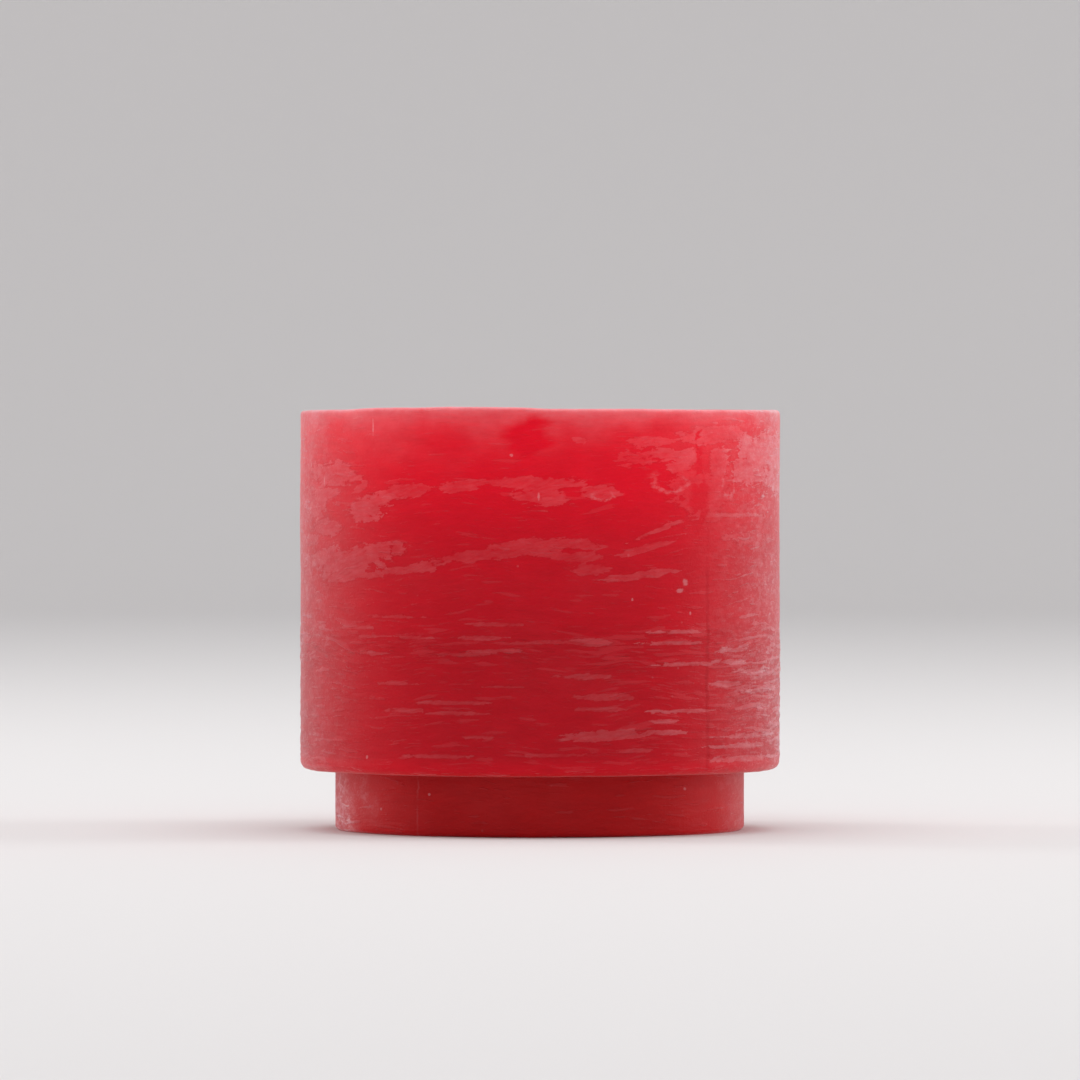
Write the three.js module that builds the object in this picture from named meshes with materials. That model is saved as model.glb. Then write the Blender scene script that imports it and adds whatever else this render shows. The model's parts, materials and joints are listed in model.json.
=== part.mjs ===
// A stackable wax candle holder: a cast wax drum on a narrower foot, with a wide round socket in
// its top for a pillar candle or for the foot of a second holder. A pocket in the socket's floor
// takes a flanged glass cup, and a tea light stands in the glass.
// Millimetres, +Z up. The origin is on the holder's axis, in the plane that the foot stands on.

import * as THREE from "three";

// Wax body
const DRUM_DIAMETER = 95;
const DRUM_HEIGHT = 71;
const FOOT_HEIGHT = 12;
const SHOULDER_WIDTH = 7; // how far the drum overhangs the foot
const RIM_ROUND = 0.8; // outer edge of the rim
const LIP_ROUND = 1.8; // lower edge of the drum
const FOOT_ROUND = 1;
const SOCKET_EDGE_ROUND = 1;
const SOCKET_COVE = 1.5;
const POCKET_COVE = 1;

// Room for the foot of a second holder in the socket
const STACK_SIDE_GAP = 1;
const STACK_FLOOR_GAP = 1;

// Tea light: a standard aluminium cup with its wax, wick and wick tab
const TEALIGHT_DIAMETER = 39; // over the rolled rim
const TEALIGHT_HEIGHT = 15;
const CUP_WALL = 0.3;
const CUP_TAPER = 0.9; // how much wider the wall's radius is at its top
const CUP_BEAD = 1; // height and width of the rolled rim
const CUP_ROUND = 1.5;
const FUEL_SINK = 2; // from the cup's rim down to the wax
const FUEL_EDGE_ROUND = 0.6;
const WICK_DIAMETER = 1.6;
const WICK_STAND = 9; // free wick above the wax
const WICK_LEAN = 1.6; // how far its tip leans to one side
const TAB_DIAMETER = 15;
const TAB_THICKNESS = 0.4;
const TAB_NECK_HEIGHT = 4;
const TAB_NECK_WALL = 0.5;

// Glass cup
const GLASS_WALL = 2.2;
const GLASS_FLOOR = 3;
const GLASS_ROUND = 2;
const GLASS_EDGE_ROUND = 0.6;
const FLANGE_WIDTH = 4;
const FLANGE_THICKNESS = 2;
const TEALIGHT_SIDE_GAP = 1; // around the tea light's rim, inside the glass
const TEALIGHT_SINK = 2; // from the glass rim down to the tea light's rim
const POCKET_SIDE_GAP = 0.5; // around the glass, inside the wax
const POCKET_FLOOR_GAP = 0.5; // under the glass, which hangs by its flange

const SEAT_GAP = 0.1; // under a piece that rests on another
const INNER_GAP = 0.3; // around the pieces cast into the tea light's wax

const ARC_STEPS = 3;
const BODY_SEGMENTS = 60;
const CUP_SEGMENTS = 40;
const TAB_SEGMENTS = 24;
const WICK_SEGMENTS = 10;
const WICK_STEPS = 12;

const RED_WAX = { color: 0xb0161f, roughness: 0.45, metalness: 0 };
const CLEAR_GLASS = { color: 0xe8f0f0, roughness: 0.05, metalness: 0 };
const ALUMINIUM = { color: 0xc9ccd0, roughness: 0.3, metalness: 1 };
const WHITE_WAX = { color: 0xf3efe4, roughness: 0.5, metalness: 0 };
const COTTON = { color: 0xe9e2d0, roughness: 0.9, metalness: 0 };
const TINPLATE = { color: 0xa9abad, roughness: 0.35, metalness: 1 };

// The points of an outline in the r-z plane. Each corner is [r, z] or [r, z, round], and a
// rounded corner becomes a tangent arc of that radius.
function outline(corners) {
  const places = corners.map(([r, z]) => new THREE.Vector2(r, z));
  const points = [];
  corners.forEach(([, , round], i) => {
    const corner = places[i];
    if (!round) {
      points.push(corner);
      return;
    }
    const back = places.at(i - 1).clone().sub(corner).normalize();
    const on = places[(i + 1) % places.length].clone().sub(corner).normalize();
    const halfAngle = Math.acos(THREE.MathUtils.clamp(back.dot(on), -1, 1)) / 2;
    const centre = back.clone().add(on).setLength(round / Math.sin(halfAngle)).add(corner);
    const start = back.clone().multiplyScalar(round / Math.tan(halfAngle)).add(corner);
    const turn = (Math.PI - 2 * halfAngle) * -Math.sign(back.cross(on));
    for (let step = 0; step <= ARC_STEPS; step++) {
      points.push(start.clone().rotateAround(centre, (turn * step) / ARC_STEPS));
    }
  });
  return points;
}

// A body of revolution about Z. Its outline runs anticlockwise in the r-z plane.
function turned(corners, segments) {
  return new THREE.LatheGeometry(outline(corners), segments).rotateX(Math.PI / 2);
}

// The same for an outline that goes round a bore and closes on itself.
function turnedRing(corners, segments) {
  const points = outline(corners);
  return new THREE.LatheGeometry([...points, points[0]], segments).rotateX(Math.PI / 2);
}

function piece(name, geometry, finish) {
  const mesh = new THREE.Mesh(geometry, new THREE.MeshStandardMaterial(finish));
  mesh.name = name;
  return mesh;
}

// Radii and heights that follow from the driving dimensions
const drumRadius = DRUM_DIAMETER / 2;
const footRadius = drumRadius - SHOULDER_WIDTH;
const rimHeight = FOOT_HEIGHT + DRUM_HEIGHT;
const socketRadius = footRadius + STACK_SIDE_GAP;
const socketFloor = rimHeight - FOOT_HEIGHT - STACK_FLOOR_GAP;

const tealightRadius = TEALIGHT_DIAMETER / 2;
const glassInnerRadius = tealightRadius + TEALIGHT_SIDE_GAP;
const glassRadius = glassInnerRadius + GLASS_WALL;
const flangeRadius = glassRadius + FLANGE_WIDTH;
const glassHeight = GLASS_FLOOR + SEAT_GAP + TEALIGHT_HEIGHT + TEALIGHT_SINK;

const pocketRadius = glassRadius + POCKET_SIDE_GAP;
const ledgeRadius = flangeRadius + POCKET_SIDE_GAP;
const ledgeHeight = socketFloor - FLANGE_THICKNESS - SEAT_GAP;
const glassBase = socketFloor - glassHeight;
const pocketFloor = glassBase - POCKET_FLOOR_GAP;

const cupMouthRadius = tealightRadius - CUP_BEAD; // outside of the wall, under the bead
const cupBaseRadius = cupMouthRadius - CUP_TAPER;
const beadFoot = TEALIGHT_HEIGHT - CUP_BEAD;
const fuelTop = TEALIGHT_HEIGHT - FUEL_SINK;
const wickRadius = WICK_DIAMETER / 2;
const tabNeckInnerRadius = wickRadius + INNER_GAP;
const tabNeckRadius = tabNeckInnerRadius + TAB_NECK_WALL;

// The wax casting: foot, drum, socket, the ledge for the glass flange, and the pocket.
function waxBody() {
  const corners = [
    [0, 0],
    [footRadius, 0, FOOT_ROUND],
    [footRadius, FOOT_HEIGHT],
    [drumRadius, FOOT_HEIGHT, LIP_ROUND],
    [drumRadius, rimHeight, RIM_ROUND],
    [socketRadius, rimHeight, SOCKET_EDGE_ROUND],
    [socketRadius, socketFloor, SOCKET_COVE],
    [ledgeRadius, socketFloor],
    [ledgeRadius, ledgeHeight],
    [pocketRadius, ledgeHeight],
    [pocketRadius, pocketFloor, POCKET_COVE],
    [0, pocketFloor],
  ];
  return piece("wax_body", turned(corners, BODY_SEGMENTS), RED_WAX);
}

// The glass cup, standing on its own base, with the flange that hangs it in the pocket.
function glassCup() {
  const flangeFoot = glassHeight - FLANGE_THICKNESS;
  const corners = [
    [0, 0],
    [glassRadius, 0, GLASS_ROUND],
    [glassRadius, flangeFoot],
    [flangeRadius, flangeFoot, GLASS_EDGE_ROUND],
    [flangeRadius, glassHeight, GLASS_EDGE_ROUND],
    [glassInnerRadius, glassHeight, GLASS_EDGE_ROUND],
    [glassInnerRadius, GLASS_FLOOR, GLASS_ROUND],
    [0, GLASS_FLOOR],
  ];
  return piece("glass_cup", turned(corners, CUP_SEGMENTS), CLEAR_GLASS);
}

// The tea light's aluminium cup, with a tapered wall and a rolled rim.
function tealightCup() {
  const beadRound = CUP_BEAD * 0.4;
  const corners = [
    [0, 0],
    [cupBaseRadius, 0, CUP_ROUND],
    [cupMouthRadius, beadFoot],
    [tealightRadius, beadFoot, beadRound],
    [tealightRadius, TEALIGHT_HEIGHT, beadRound],
    [cupMouthRadius - CUP_WALL, TEALIGHT_HEIGHT, CUP_WALL],
    [cupBaseRadius - CUP_WALL, CUP_WALL, CUP_ROUND - CUP_WALL],
    [0, CUP_WALL],
  ];
  return piece("tealight_cup", turned(corners, CUP_SEGMENTS), ALUMINIUM);
}

// The tea light's wax, cast around the wick and the wick tab.
function tealightWax() {
  const base = CUP_WALL + SEAT_GAP;
  const sideGap = CUP_WALL + INNER_GAP;
  const wallRadius = (height) => {
    const share = height / beadFoot;
    return cupBaseRadius - sideGap + CUP_TAPER * share;
  };
  const tabTop = base + TAB_THICKNESS + INNER_GAP;
  const neckTop = base + TAB_NECK_HEIGHT + INNER_GAP;
  const tabRoom = TAB_DIAMETER / 2 + INNER_GAP;
  const neckRoom = tabNeckRadius + INNER_GAP;
  const wickRoom = wickRadius + INNER_GAP;
  const corners = [
    [tabRoom, base],
    [wallRadius(base), base, CUP_ROUND],
    [wallRadius(fuelTop), fuelTop, FUEL_EDGE_ROUND],
    [wickRoom, fuelTop],
    [wickRoom, neckTop],
    [neckRoom, neckTop],
    [neckRoom, tabTop],
    [tabRoom, tabTop],
  ];
  return piece("tealight_wax", turnedRing(corners, CUP_SEGMENTS), WHITE_WAX);
}

// The wick tab: a thin tinplate disc with a neck that grips the wick.
function wickTab() {
  const corners = [
    [tabNeckInnerRadius, 0],
    [TAB_DIAMETER / 2, 0],
    [TAB_DIAMETER / 2, TAB_THICKNESS],
    [tabNeckRadius, TAB_THICKNESS],
    [tabNeckRadius, TAB_NECK_HEIGHT],
    [tabNeckInnerRadius, TAB_NECK_HEIGHT],
  ];
  return piece("wick_tab", turnedRing(corners, TAB_SEGMENTS), TINPLATE);
}

// The cotton wick: straight inside the wax, then leaning over towards -X.
function wick() {
  const section = new THREE.Shape().absarc(0, 0, wickRadius, 0, 2 * Math.PI);
  const foot = new THREE.Vector3(0, 0, CUP_WALL + SEAT_GAP);
  const leaves = new THREE.Vector3(0, 0, fuelTop);
  const bends = new THREE.Vector3(0, 0, fuelTop + WICK_STAND / 2);
  const tip = new THREE.Vector3(-WICK_LEAN, 0, fuelTop + WICK_STAND);
  const route = new THREE.CurvePath();
  route.add(new THREE.LineCurve3(foot, leaves));
  route.add(new THREE.QuadraticBezierCurve3(leaves, bends, tip));
  const geometry = new THREE.ExtrudeGeometry(section, {
    steps: WICK_STEPS,
    curveSegments: WICK_SEGMENTS / 2,
    bevelEnabled: false,
    extrudePath: route,
  });
  return piece("wick", geometry, COTTON);
}

// Nested groups: the tea light stands in the glass, and the glass hangs in the wax body.
const tab = wickTab();
tab.position.z = CUP_WALL + SEAT_GAP;

const tealight = new THREE.Group();
tealight.position.z = GLASS_FLOOR + SEAT_GAP;
tealight.add(tealightCup(), tealightWax(), wick(), tab);

const insert = new THREE.Group();
insert.position.z = glassBase;
insert.add(glassCup(), tealight);

const holder = new THREE.Group();
holder.add(waxBody(), insert);

export default holder;
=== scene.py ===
"""A stackable wax candle holder with a glass insert and a tea light, dressed for close viewing.

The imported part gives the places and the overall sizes, in metres, with +Z up. Angles round the
holder are counted from its front, which faces -Y, towards +X.
"""
import itertools
import json
import logging
import math
from dataclasses import dataclass, field
from enum import Enum

import bpy
import numpy as np
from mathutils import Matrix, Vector


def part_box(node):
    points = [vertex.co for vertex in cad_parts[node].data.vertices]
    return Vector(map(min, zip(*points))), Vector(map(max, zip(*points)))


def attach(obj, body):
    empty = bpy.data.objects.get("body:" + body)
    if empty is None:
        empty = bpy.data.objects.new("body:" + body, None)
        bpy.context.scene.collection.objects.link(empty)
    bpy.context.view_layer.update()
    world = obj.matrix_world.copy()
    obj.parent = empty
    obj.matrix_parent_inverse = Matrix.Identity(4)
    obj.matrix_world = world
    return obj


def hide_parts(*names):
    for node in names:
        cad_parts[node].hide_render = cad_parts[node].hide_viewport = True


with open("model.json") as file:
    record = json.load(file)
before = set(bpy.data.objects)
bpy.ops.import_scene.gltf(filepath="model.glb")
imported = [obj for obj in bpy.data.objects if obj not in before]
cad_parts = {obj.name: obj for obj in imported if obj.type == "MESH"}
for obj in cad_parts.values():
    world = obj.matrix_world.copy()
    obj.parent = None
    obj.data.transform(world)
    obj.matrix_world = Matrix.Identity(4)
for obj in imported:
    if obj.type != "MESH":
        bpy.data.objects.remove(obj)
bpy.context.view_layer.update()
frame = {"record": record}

LOG = logging.getLogger("candle_holder")
MM = 0.001
SEAT_GAP = 0.1 * MM  # under a piece that rests on another
POCKET_GAP = 0.5 * MM  # round the glass cup and under it
WICK_RADIUS = 0.74 * MM
SHARP_EDGE = math.radians(55)
ON_AXIS = 1e-9  # a radius under this is on the axis, in metres
Colour = tuple[float, float, float]
Row = tuple[float, ...]


# ---------------------------------------------------------------------------------------------
# Shader maths
# ---------------------------------------------------------------------------------------------


class Term:
    """A shader socket that takes part in ordinary arithmetic."""

    def __init__(self, bench: "Bench", socket: bpy.types.NodeSocket) -> None:
        """Wraps a socket of a bench's node tree."""
        self.bench = bench
        self.socket = socket

    def maths(self, operation: str, *operands: "Term | float", clamp: bool = False) -> "Term":
        """Adds a Math node.

        Args:
            operation: the Math node's operation.
            operands: its sockets, in order.
            clamp: whether the result is kept between 0 and 1.

        Returns:
            The node's result.
        """
        settings = {"operation": operation, "use_clamp": clamp}
        return self.bench.node("ShaderNodeMath", settings, dict(enumerate(operands)))

    def __add__(self, other: "Term | float") -> "Term":
        """The sum."""
        return self.maths("ADD", self, other)

    __radd__ = __add__

    def __sub__(self, other: "Term | float") -> "Term":
        """The difference."""
        return self.maths("SUBTRACT", self, other)

    def __rsub__(self, other: float) -> "Term":
        """The difference, from a number."""
        return self.maths("SUBTRACT", other, self)

    def __mul__(self, other: "Term | float") -> "Term":
        """The product."""
        return self.maths("MULTIPLY", self, other)

    __rmul__ = __mul__

    def __truediv__(self, other: "Term | float") -> "Term":
        """The quotient."""
        return self.maths("DIVIDE", self, other)

    def __pow__(self, other: float) -> "Term":
        """A power of a value that isn't negative."""
        return self.maths("POWER", self, other)

    def __abs__(self) -> "Term":
        """The value without its sign."""
        return self.maths("ABSOLUTE", self)

    def clamped(self) -> "Term":
        """The value kept between 0 and 1."""
        return self.maths("ADD", self, 0.0, clamp=True)

    def step(self, low: float, high: float) -> "Term":
        """Rises smoothly from 0 to 1.

        Args:
            low: the value where it is 0.
            high: the value where it is 1; under low, the step falls.

        Returns:
            The smooth step.
        """
        settings = {"interpolation_type": "SMOOTHSTEP"}
        sockets = {"Value": self, "From Min": low, "From Max": high}
        return self.bench.node("ShaderNodeMapRange", settings, sockets)


class Bench:
    """The node tree of one material, and the one way in which nodes are added to it."""

    def __init__(self, name: str) -> None:
        """Starts a material with nothing but its output."""
        self.material = bpy.data.materials.new(name)
        self.material.use_nodes = True
        self.tree = self.material.node_tree
        self.tree.nodes.clear()
        self.output = self.tree.nodes.new("ShaderNodeOutputMaterial")

    def node(
        self,
        kind: str,
        settings: dict[str, object] | None = None,
        sockets: dict[str | int, object] | None = None,
        output: str | int = 0,
    ) -> Term:
        """Adds a node, sets it up, then fills its sockets.

        Args:
            kind: the node's type.
            settings: its properties, such as a Math node's operation.
            sockets: values or links by socket name or number.
            output: the output that is wanted.

        Returns:
            That output.
        """
        made = self.tree.nodes.new(kind)
        for name, value in (settings or {}).items():
            setattr(made, name, value)
        for name, value in (sockets or {}).items():
            target = made.inputs[name]
            if isinstance(value, Term):
                self.tree.links.new(value.socket, target)
            else:
                target.default_value = value
        return Term(self, made.outputs[output])

    def place(self) -> Term:
        """The point on the piece, in metres, in the part's own frame."""
        return self.node("ShaderNodeTexCoord", output="Object")

    def axes(self, point: Term) -> tuple[Term, Term, Term]:
        """The three coordinates of a point."""
        return tuple(
            self.node("ShaderNodeSeparateXYZ", None, {"Vector": point}, axis) for axis in "XYZ"
        )

    def scaled(self, point: Term, factors: Colour) -> Term:
        """A point with each coordinate multiplied by its own factor."""
        return self.node("ShaderNodeVectorMath", {"operation": "MULTIPLY"}, {0: point, 1: factors})

    def shifted(self, point: Term, offset: "Term | Colour") -> Term:
        """A point moved by an offset."""
        return self.node("ShaderNodeVectorMath", {"operation": "ADD"}, {0: point, 1: offset})

    def noise(self, point: Term, size: Colour | float, detail: float = 3.0, rough: float = 0.5) -> Term:
        """Cloudy noise between 0 and 1.

        Args:
            point: where it is read.
            size: how large its features are along each axis, in metres.
            detail: how many finer layers it has.
            rough: how strong the finer layers are.

        Returns:
            The noise.
        """
        sizes = size if isinstance(size, tuple) else (size, size, size)
        where = self.scaled(point, tuple(1 / s for s in sizes))
        sockets = {"Vector": where, "Scale": 1.0, "Detail": detail, "Roughness": rough}
        return self.node("ShaderNodeTexNoise", None, sockets)

    def cells(self, point: Term, size: float, output: str = "Distance") -> Term:
        """Scattered cells, about one in each cube of the size given."""
        where = self.scaled(point, (1 / size,) * 3)
        return self.node("ShaderNodeTexVoronoi", None, {"Vector": where, "Scale": 1.0}, output)

    def painted(self, name: str) -> Term:
        """A value that the mesh carries at its vertices."""
        return self.node("ShaderNodeAttribute", {"attribute_name": name}, None, "Fac")

    def mix(self, share: "Term | float", first: "Term | Colour", second: "Term | Colour") -> Term:
        """Goes from one colour to another.

        Args:
            share: how much of the second there is.
            first: a colour or a link.
            second: a colour or a link.

        Returns:
            The mixed colour.
        """
        settings = {"data_type": "RGBA"}
        ends = [c if isinstance(c, Term) else (*c, 1.0) for c in (first, second)]
        return self.node("ShaderNodeMix", settings, {0: share, 6: ends[0], 7: ends[1]}, 2)

    def bump(self, height: Term, depth: float) -> Term:
        """A normal from a height.

        Args:
            height: the height, as a share of the depth.
            depth: how deep a height of 1 is, in metres.

        Returns:
            The normal.
        """
        return self.node("ShaderNodeBump", None, {"Height": height, "Distance": depth, "Strength": 1.0})

    def surface(self, **sockets: object) -> bpy.types.Material:
        """Finishes the material with a Principled shader.

        Args:
            sockets: its sockets, with an underscore for each space.

        Returns:
            The finished material.
        """
        named = {name.replace("_", " "): value for name, value in sockets.items()}
        shader = self.node("ShaderNodeBsdfPrincipled", None, named)
        self.tree.links.new(shader.socket, self.output.inputs["Surface"])
        return self.material


# ---------------------------------------------------------------------------------------------
# Finishes
# ---------------------------------------------------------------------------------------------


@dataclass(frozen=True)
class Drip:
    """A dried drip on the wall, left as a pale outline, or a pit where it is filled.

    It has an angle in degrees, a height, and a half width and half height in millimetres.
    """

    angle: float
    height: float
    reach: float
    rise: float
    filled: bool = False
    on_foot: bool = False


DRIPS = (
    Drip(31.7, 69.0, 3.6, 2.3),
    Drip(50.5, 68.8, 1.8, 3.0),
    Drip(15.0, 66.2, 2.3, 1.0),
    Drip(142.0, 67.0, 3.4, 2.0),
    Drip(-151.0, 71.0, 1.6, 2.8),
    Drip(-43.0, 79.3, 0.2, 1.5, filled=True),
    Drip(-62.5, 68.9, 0.22, 1.0, filled=True),
    Drip(-6.6, 74.0, 0.32, 0.32, filled=True),
    Drip(-0.3, 66.0, 0.22, 0.6, filled=True),
    Drip(36.3, 49.4, 0.62, 0.6, filled=True),
    Drip(34.9, 47.8, 0.75, 0.4, filled=True),
    Drip(37.8, 43.4, 0.25, 0.3, filled=True),
    Drip(22.0, 46.2, 0.2, 0.25, filled=True),
    Drip(-45.0, 15.4, 0.3, 0.3, filled=True),
    Drip(117.0, 52.0, 0.5, 0.5, filled=True),
    Drip(-128.0, 44.0, 0.4, 0.5, filled=True),
    Drip(44.0, 9.1, 0.42, 0.34, filled=True, on_foot=True),
    Drip(-32.0, 8.2, 0.3, 0.3, filled=True, on_foot=True),
    Drip(-50.0, 5.0, 0.3, 0.25, filled=True, on_foot=True),
)


@dataclass(frozen=True)
class WaxFields:
    """The fields that the wax material works from; the last seven are carried by the mesh."""

    point: Term
    height: Term
    flow: Term
    fibre: Term
    feather: Term
    fine: Term
    grain: Term
    mottle: Term
    # the pale film, with painted sheen towards the sides and a painted highlight along the rim
    film: Term
    cloud: Term
    milk: Term
    streak: Term
    # frosting and painted sheen towards the sides
    bloom: Term
    # painted glow: emission that stands in for light shining through the wax
    glow: Term
    outside: Term


@dataclass(frozen=True)
class RedWax:
    """Translucent red casting wax, frosted where it left the mould, with painted glow, light, shade and
    sheen in its colour.
    """

    wall_radius: float
    foot_radius: float
    shoulder: float
    seam_angle: float = 43.2
    foot_seam_angle: float = -36.0
    chain_angle: float = 40.6
    deep: Colour = (0.50, 0.003, 0.012)
    # painted light: the lighter colour that the drum takes towards its top, where light falls
    bright: Colour = (0.83, 0.002, 0.019)
    # painted shade: the foot's colour is darker, for the shade under the drum's overhang
    foot: Colour = (0.48, 0.005, 0.007)
    shadow: Colour = (0.17, 0.001, 0.003)
    # the frosting's colour, also used for the painted sheen and the painted rim highlight
    frost_and_sheen_colour: Colour = (0.83, 0.775, 0.82)
    # painted glow: the colour of the emission that stands in for light shining through the wax
    glow: Colour = (0.13, 0.000, 0.002)

    def read_fields(self, bench: Bench) -> WaxFields:
        """Sets up the noises that the finish shares; the level ones follow the wax's slow waves."""
        point = bench.place()
        wave = (bench.noise(point, 20 * MM, 2.0) - 0.5) * (5 * MM)
        drawn = bench.shifted(point, bench.node("ShaderNodeCombineXYZ", None, {"Z": wave}))
        slant = wave - bench.axes(point)[0] * 0.24
        swept = bench.shifted(point, bench.node("ShaderNodeCombineXYZ", None, {"Z": slant}))
        carried = ("film", "cloud", "milk", "streak", "bloom", "glow", "outside")
        return WaxFields(
            point=point,
            height=bench.axes(point)[2],
            flow=bench.noise(drawn, (8.5 * MM, 8.5 * MM, 0.95 * MM), 1.3, 0.5),
            fibre=bench.noise(drawn, (4 * MM, 4 * MM, 0.42 * MM), 2.0, 0.55),
            feather=bench.noise(swept, (3 * MM, 3 * MM, 0.6 * MM), 3.0, 0.6),
            fine=bench.noise(point, (1.6 * MM, 1.6 * MM, 0.9 * MM), 3.0, 0.65),
            grain=bench.noise(point, 0.40 * MM, 1.0, 0.6),
            mottle=bench.noise(point, (6 * MM, 6 * MM, 3 * MM), 3.0, 0.6),
            **{name: bench.painted(name) for name in carried},
        )

    def off_line(self, bench: Bench, seen: WaxFields, degrees: float, wander: float) -> Term:
        """How far each point is from an upright line that is on both sides of the casting.

        Args:
            bench: the material being made.
            seen: the shared fields.
            degrees: the angle of the line.
            wander: how far the line strays, in metres.

        Returns:
            The distance, in metres.
        """
        angle = math.radians(degrees)
        x, y, _ = bench.axes(seen.point)
        stray = (seen.mottle - 0.5) * wander + (seen.fine - 0.5) * (wander * 0.5)
        return abs(x * math.cos(angle) + y * math.sin(angle) + stray)

    def seam(self, bench: Bench, seen: WaxFields, degrees: float, width: float) -> Term:
        """The line that a two-part mould leaves, on both sides of the casting.

        Args:
            bench: the material being made.
            seen: the shared fields.
            degrees: the angle of the line.
            width: its half width, in metres.

        Returns:
            1 on the line and 0 off it.
        """
        off = self.off_line(bench, seen, degrees, 1.4 * MM)
        broken = bench.noise(seen.point, (8 * MM, 8 * MM, 5 * MM), 2.0, 0.6)
        return off.step(width, width * 0.2) * broken.step(0.32, 0.55)

    def clear_chain(self, bench: Bench, seen: WaxFields) -> Term:
        """The chain of clear spots beside the drum's seam.

        Args:
            bench: the material being made.
            seen: the shared fields.

        Returns:
            1 in the spots and 0 outside them.
        """
        off = self.off_line(bench, seen, self.chain_angle, 3.4 * MM)
        wide = seen.height.step(60 * MM, 65 * MM) * seen.height.step(72 * MM, 67 * MM)
        broken = bench.noise(seen.point, (5 * MM, 5 * MM, 3.4 * MM), 2.5, 0.6)
        inside = (off / (wide * (1.7 * MM) + 0.75 * MM)).step(1.25, 0.6)
        upper = seen.height.step(46 * MM, 56 * MM) * seen.height.step(81 * MM, 78.5 * MM)
        return inside * (broken + wide * 0.04).step(0.46, 0.52) * upper

    def drips(self, bench: Bench, seen: WaxFields, filled: bool) -> Term:
        """All the drips' outlines, or all the pits.

        Args:
            bench: the material being made.
            seen: the shared fields.
            filled: whether the pits are wanted.

        Returns:
            1 on them and 0 off them.
        """
        marks: Term | float = 0.0
        for drip in (d for d in DRIPS if d.filled is filled):
            angle, stretch = math.radians(drip.angle), drip.reach / drip.rise
            radius = self.foot_radius if drip.on_foot else self.wall_radius
            centre = (radius * math.sin(angle), -radius * math.cos(angle), drip.height * MM * stretch)
            where = bench.scaled(seen.point, (1.0, 1.0, stretch))
            settings = {"operation": "DISTANCE"}
            away = bench.node("ShaderNodeVectorMath", settings, {0: where, 1: centre}, "Value")
            if filled:
                uneven = (seen.fine - 0.5) * 2.0 + (seen.grain - 0.5) * 0.8
                shape = (away / (drip.reach * MM) + uneven).step(1.3, 0.5)
            else:
                away = away / (drip.reach * MM) + (seen.mottle - 0.5) * 1.5 + (seen.feather - 0.5) * 0.6
                top, bottom = drip.height + drip.rise, drip.height - drip.rise * 0.6
                lower = seen.height.step(top * MM, bottom * MM)
                ring = away.step(1.3, 1.02) * away.step(0.7, 0.98)
                shape = ring * (lower * 0.8 + 0.2) * seen.fine.step(0.35, 0.6)
            marks = shape + marks
        return marks.clamped()

    def patches(self, seen: WaxFields) -> tuple[Term, Term]:
        """The pale patches and the dark edge round them, which is partly deeper clear wax and partly
        painted shade.

        Args:
            seen: the shared fields.

        Returns:
            How strongly the patches show, and how strongly their edges do.
        """
        ragged = (seen.feather - 0.5) + (seen.flow - 0.5) * 0.7 + (seen.fine - 0.5) * 1.1
        ragged = ragged + (seen.mottle - 0.5) * 0.6
        marked, within = seen.cloud + ragged, seen.cloud.step(0.0, 0.15)
        patch = marked.step(0.27, 0.37)
        # the dark edge is partly deeper clear wax and partly painted shade round the patches
        edge = (marked.step(0.08, 0.22) - patch).clamped() * within * seen.flow.step(0.40, 0.55)
        depth = seen.mottle.step(0.35, 0.6) * 0.35 + seen.feather.step(0.35, 0.65) * 0.40
        return patch * within * (depth + seen.fine.step(0.35, 0.6) * 0.20 + 0.30), edge

    def threads(self, seen: WaxFields) -> Term:
        """The level strokes, with finer threads between them."""
        uneven = (seen.fine - 0.5) * 0.15
        stroke = (seen.flow + uneven + seen.streak * 0.19).step(0.655, 0.715)
        thread = (seen.fibre + uneven + seen.streak * 0.16).step(0.66, 0.72)
        return (stroke + thread * 0.55).clamped()

    def paleness(self, bench: Bench, seen: WaxFields, patch: Term, thread: Term, drum: Term) -> Term:
        """How much of the pale frosting there is, with its painted sheen and rim highlight, and with what
        the seams and clear spots take away.

        Args:
            bench: the material being made.
            seen: the shared fields.
            patch: the pale patches.
            thread: the strokes and threads.
            drum: 1 on the drum and 0 on the foot.

        Returns:
            The share of frosting, from 0 to 1.
        """
        speckle = (seen.fine + (seen.grain - 0.5) * 0.8).step(0.50, 0.63)
        fleck = bench.noise(seen.point, (2.6 * MM, 2.6 * MM, 1.5 * MM), 2.0, 0.55).step(0.51, 0.60)
        sparse = bench.cells(seen.point, 4.5 * MM).step(0.07, 0.035) * seen.mottle.step(0.45, 0.6)
        # the film carries painted sheen towards the sides and a painted highlight along the rim
        pale = seen.film * (seen.mottle * 0.9 + seen.fine * 0.5 + 0.3)
        pale = pale + patch * seen.milk * 0.050 + thread * (seen.bloom * 0.13 + 0.018)
        pale = pale + seen.bloom * (speckle * 0.08 + fleck * 0.075) + sparse.clamped() * 0.05
        chain = self.clear_chain(bench, seen) * seen.outside
        foot_seam = self.seam(bench, seen, self.foot_seam_angle, 0.3 * MM) * (1 - drum) * seen.outside
        pale = pale * (1 - self.drum_seam(bench, seen, drum) * 0.7) * (1 - chain * 0.9) + foot_seam * 0.04
        outlines, pits = self.drips(bench, seen, False), self.drips(bench, seen, True)
        return (pale + pits * 0.17 + outlines * 0.11).clamped()

    def drum_seam(self, bench: Bench, seen: WaxFields, drum: Term) -> Term:
        """The mould's seam on the drum, which fades out towards the rim."""
        seam = self.seam(bench, seen, self.seam_angle, 0.7 * MM) * drum * seen.outside
        return seam * seen.height.step(66 * MM, 55 * MM)

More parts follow.
